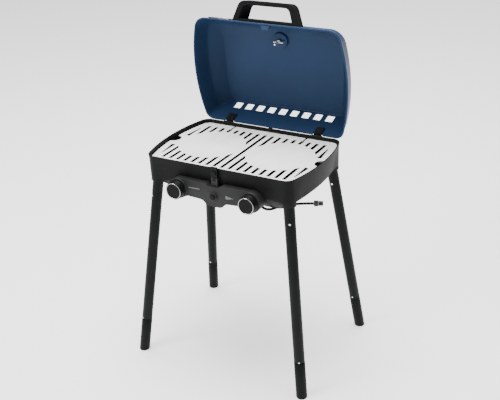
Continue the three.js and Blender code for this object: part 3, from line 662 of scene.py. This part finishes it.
def build_panel():
    front = lambda u, v, y: place(u, y, v)
    body = slab(panel_outline(), -160, PANEL_FACE, front)
    envelope = skin([ring_at(BASE, -0.6, BASE_Z - 0.6), ring_at(RIM, 9.4, WALL_FOOT_Z),
                     ring_at(RIM, -0.6, RIM_Z + 4)])
    mesh = carved(body, [envelope])
    obj = finish_piece("control_panel_fascia", mesh, "firebox", "panel_plastic", ["control_panel"])
    round_edges(obj, 1.6, 4, 40)
    for name, side in SIDES.items():
        barrel = [(0, 27.6), (0, 28.6), (0.5, 29.8), (1.5, 30.6), (3, BOSS_R), (44, BOSS_R), (50, 30.4),
                  (50, 28.4), (3, 27.6)]
        points, faces = turned(barrel, (side * BOSS_X, -185, BOSS_Z), (0, 1, 0), 64)
        shell = (points, faces[:-2] + closing(len(barrel), 64))
        mesh = carved(shell, [envelope])
        finish_piece(f"knob_boss_{name}", mesh, "firebox", "panel_plastic")
        well = turned([(0, 27.9), (1.2, 27.9)], (side * BOSS_X, -183.5, BOSS_Z), (0, 1, 0), 48)
        piece(f"knob_well_{name}", *well, "firebox", "panel_plastic")
    bezel = [(0, 8.9), (0, 11), (0.4, 11.8), (1, 12), (6, 12.4), (6, 8.9)]
    points, faces = turned(bezel, (0, -187.5, IGNITER_Z), (0, 1, 0), 40)
    piece("igniter_bezel", points, faces[:-2] + closing(len(bezel), 40), "firebox", "panel_plastic")
    marks = []
    for i in range(5):
        x = 40 + 5.2 * i
        rise = 5.2 - i * 1.1
        marks.append(block(x, x + 3.4, PANEL_FACE - 0.25, PANEL_FACE + 0.2, 586 - rise, 586 + rise))
    piece("panel_level_marks", *merged(marks), "firebox", "panel_plastic", material=MARK_GREY)
    piece("panel_stripe", *block(-84, -46, PANEL_FACE - 0.25, PANEL_FACE + 0.2, 594.5, 596.5), "firebox",
          "panel_plastic", material=MARK_GREY)


build_panel()


RIB_FACES = [(0, 1, 3, 2), (4, 6, 7, 5), (0, 4, 5, 1), (2, 3, 7, 6), (0, 2, 6, 4), (1, 5, 7, 3)]


def build_knob(name, side):
    centre = (side * BOSS_X, KNOB_BACK, BOSS_Z)
    depth = KNOB_BACK - KNOB_FACE
    body = [(0, 4.6), (0, 26.4), (0.4, 27.2), (1.2, 27.8), (4, 27.9), (5, 27.4), (6, 27.3),
            (depth - 3, 26.4), (depth - 1.2, 26), (depth - 0.3, 25.4), (depth, 24.7), (depth, 22.4),
            (depth - 0.7, 22.2),
            (depth - 0.9, 0)]
    points, faces = turned(body, centre, (0, -1, 0), 72)
    piece(f"knob_body_{name}", points, faces, f"knob_{name}", "black_plastic", [f"knob_{name}"])
    ring = [(depth - 0.8, 22.5), (depth + 0.3, 22.7), (depth + 0.6, 23.1), (depth + 0.6, 23.8),
            (depth + 0.2, 24.3), (depth - 0.8, 24.4)]
    points, faces = turned(ring, centre, (0, -1, 0), 72)
    piece(f"knob_trim_{name}", points, faces[:-2] + closing(len(ring), 72), f"knob_{name}", "chrome",
          [f"knob_ring_{name}"])
    ribs = []
    for i in range(36):
        angle = 2 * pi * i / 36
        radial, across = Vector((cos(angle), 0, sin(angle))), Vector((-sin(angle), 0, cos(angle)))
        middle = Vector(centre)
        corners = []
        for along in (6.5, depth - 2.2):
            for reach, half in ((25, 0.55), (27.35 - (along - 6) * 0.1, 0.35)):
                for way in (-1, 1):
                    inward = middle + Vector((0, -along, 0))
                    corners.append(place(*(inward + radial * (reach + 0.25) + across * half * way)))
        ribs.append((corners, RIB_FACES))
    piece(f"knob_ribs_{name}", *merged(ribs), f"knob_{name}", "black_plastic")
    dots = []
    for row in range(-7, 8):
        for col in range(-7, 8):
            x, z = row * 2.9, col * 2.9
            if hypot(x, z) < 21.4:
                dots.append(turned([(0, 1.0), (0.35, 0.7), (0.5, 0)],
                                   (centre[0] + x, KNOB_FACE + 0.9, BOSS_Z + z),
                                   (0, -1, 0), 8))
    piece(f"knob_grain_{name}", *merged(dots), f"knob_{name}", "black_plastic")


for side_name, sign in SIDES.items():
    build_knob(side_name, sign)

button = turned([(0, 0), (0, 3.2), (17, 3.2), (17, 7.6), (17.6, 8.3), (19.2, 8.3), (20, 7.4), (20.2, 0)],
                (0, -171, IGNITER_Z), (0, -1, 0), 40)
piece("igniter_push_button", *button, "igniter_button", "black_plastic", ["igniter_button"])


# ---- legs ----
def build_leg(name, sx, sy):
    def bar(top, bottom, profile, label, body, slot, replaced):
        start = leg_axis(sx, sy, bottom)
        bar_points, bar_faces = turned(profile, start, leg_axis(sx, sy, top) - start, LEG_SIDES)
        piece(f"{label}_{name}", bar_points, bar_faces, body, slot, replaced)

    tube_length = (leg_axis(sx, sy, LEG_JOINT_Z - 0.4) - leg_axis(sx, sy, FOOT_TOP)).length
    plug = [(tube_length, LEG_R - 1.8), (tube_length + 60, LEG_R - 1.9), (tube_length + 60.3, 0)]
    tube = rounded(tube_length, LEG_R, 0.8)[:-1] + plug
    bar(LEG_JOINT_Z, FOOT_TOP, tube, "leg_tube", f"leg_{name}", "steel_dark", [f"leg_{name}"])
    sleeve = [(0, LEG_R - 1.4), (0, LEG_R - 0.2), (0.6, LEG_R + 0.5), (3, LEG_R + 0.5), (3.4, LEG_R + 0.2),
              (94, LEG_R + 0.2), (94, LEG_R - 1.4)]
    start = leg_axis(sx, sy, LEG_JOINT_Z)
    points, faces = turned(sleeve, start, leg_axis(sx, sy, 634) - start, LEG_SIDES)
    faces = faces[:-2] + closing(len(sleeve), LEG_SIDES)
    piece(f"leg_upper_sleeve_{name}", points, faces, "firebox", "steel_dark", [f"leg_sleeve_{name}"])
    foot_shape(name, sx, sy)


def foot_shape(name, sx, sy):
    """The foot sleeve: its lower end is flat on the floor with a rounded edge."""
    rings = []
    turns = [2 * pi * i / LEG_SIDES for i in range(LEG_SIDES)]
    radius = LEG_R + 0.5
    for z, share in ((0, 0), (0, 0.86), (0.6, 0.94), (2, 0.985), (4.5, 1), (60, 1), (FOOT_TOP - 1.4, 1),
                     (FOOT_TOP - 0.4, 0.965), (FOOT_TOP - 0.4, 0.75)):
        centre = leg_axis(sx, sy, z)
        reach = radius * max(share, 0.002)
        rings.append([place(centre.x + reach * cos(turn), centre.y + reach * sin(turn), z)
                      for turn in turns])
    piece(f"leg_foot_sleeve_{name}", *skin(rings), f"leg_{name}", "black_plastic", [f"leg_foot_{name}"])
    aim = Vector((0.4 * sx, -0.9, 0)) if sy < 0 else Vector((0, -1, 0))
    rivet = turned([(0, 2.6), (1.1, 2.4), (1.6, 1.6), (1.8, 0)],
                   leg_axis(sx, sy, FOOT_TOP + 5) + aim.normalized() * (LEG_R - 0.6), aim, 20)
    piece(f"leg_foot_rivet_{name}", *rivet, f"leg_{name}", "steel")


for corner_name, (corner_x, corner_y) in CORNERS.items():
    build_leg(corner_name, corner_x, corner_y)


# ---- finishes of the CAD pieces that stay ----
for node, obj in frame["nodes"].items():
    obj.data.materials.clear()
    obj.data.materials.append(MATERIALS[SLOT_OF[node]])
for node in ("hinge_leaf", "hinge_bracket", "tray_rail"):
    for side_name in SIDES:
        round_edges(frame["nodes"][f"{node}_{side_name}"], 0.5)
for side_name in SIDES:  # the handle's screws are painted over with the lid
    frame["nodes"][f"handle_screw_{side_name}"].data.materials[0] = MATERIALS["lid_blue"]
for node in ("latch_base", "latch_clip", "lid_catch", "inlet_nut", "grease_tray"):
    round_edges(frame["nodes"][node], 0.5)


# ---- floor, lights and world ----
def build_stage():
    size = 12
    points = [Vector((x, y, 0)) for x, y in ((-size, -size), (size, -size), (size, size), (-size, size))]
    mesh = bpy.data.meshes.new("floor")
    mesh.from_pydata(points, [], [(0, 1, 2, 3)])
    white = surface("floor_white", (0.9, 0.9, 0.9), 0.8, mottle=0.005, mottle_size=2, bump=0.0)
    glow = white.node_tree.nodes["Principled BSDF"].inputs
    glow["Emission Color"].default_value = (1, 1, 1, 1)
    glow["Emission Strength"].default_value = 1.0
    mesh.materials.append(white)
    floor = bpy.data.objects.new("floor", mesh)
    bpy.context.scene.collection.objects.link(floor)


def light(name, at, aim, size, power):
    data = bpy.data.lights.new(name, "AREA")
    data.size = size
    data.energy = power
    lamp = bpy.data.objects.new(name, data)
    bpy.context.scene.collection.objects.link(lamp)
    lamp.location = at
    lamp.rotation_euler = (Vector(aim) - Vector(at)).to_track_quat("-Z", "Y").to_euler()


build_stage()
light("key", (-2.0, -3.0, 3.2), (0, 0, 0.7), 1.8, 118)
light("fill", (3.2, -1.8, 2.6), (0, 0, 0.6), 2.0, 5)
light("top", (-0.2, 0.3, 4.0), (0, 0, 0.6), 2.6, 330)
world = bpy.data.worlds.new("studio")
world.use_nodes = True
world.node_tree.nodes["Background"].inputs["Color"].default_value = (1, 1, 1, 1)
world.node_tree.nodes["Background"].inputs["Strength"].default_value = 0.36
bpy.context.scene.world = world
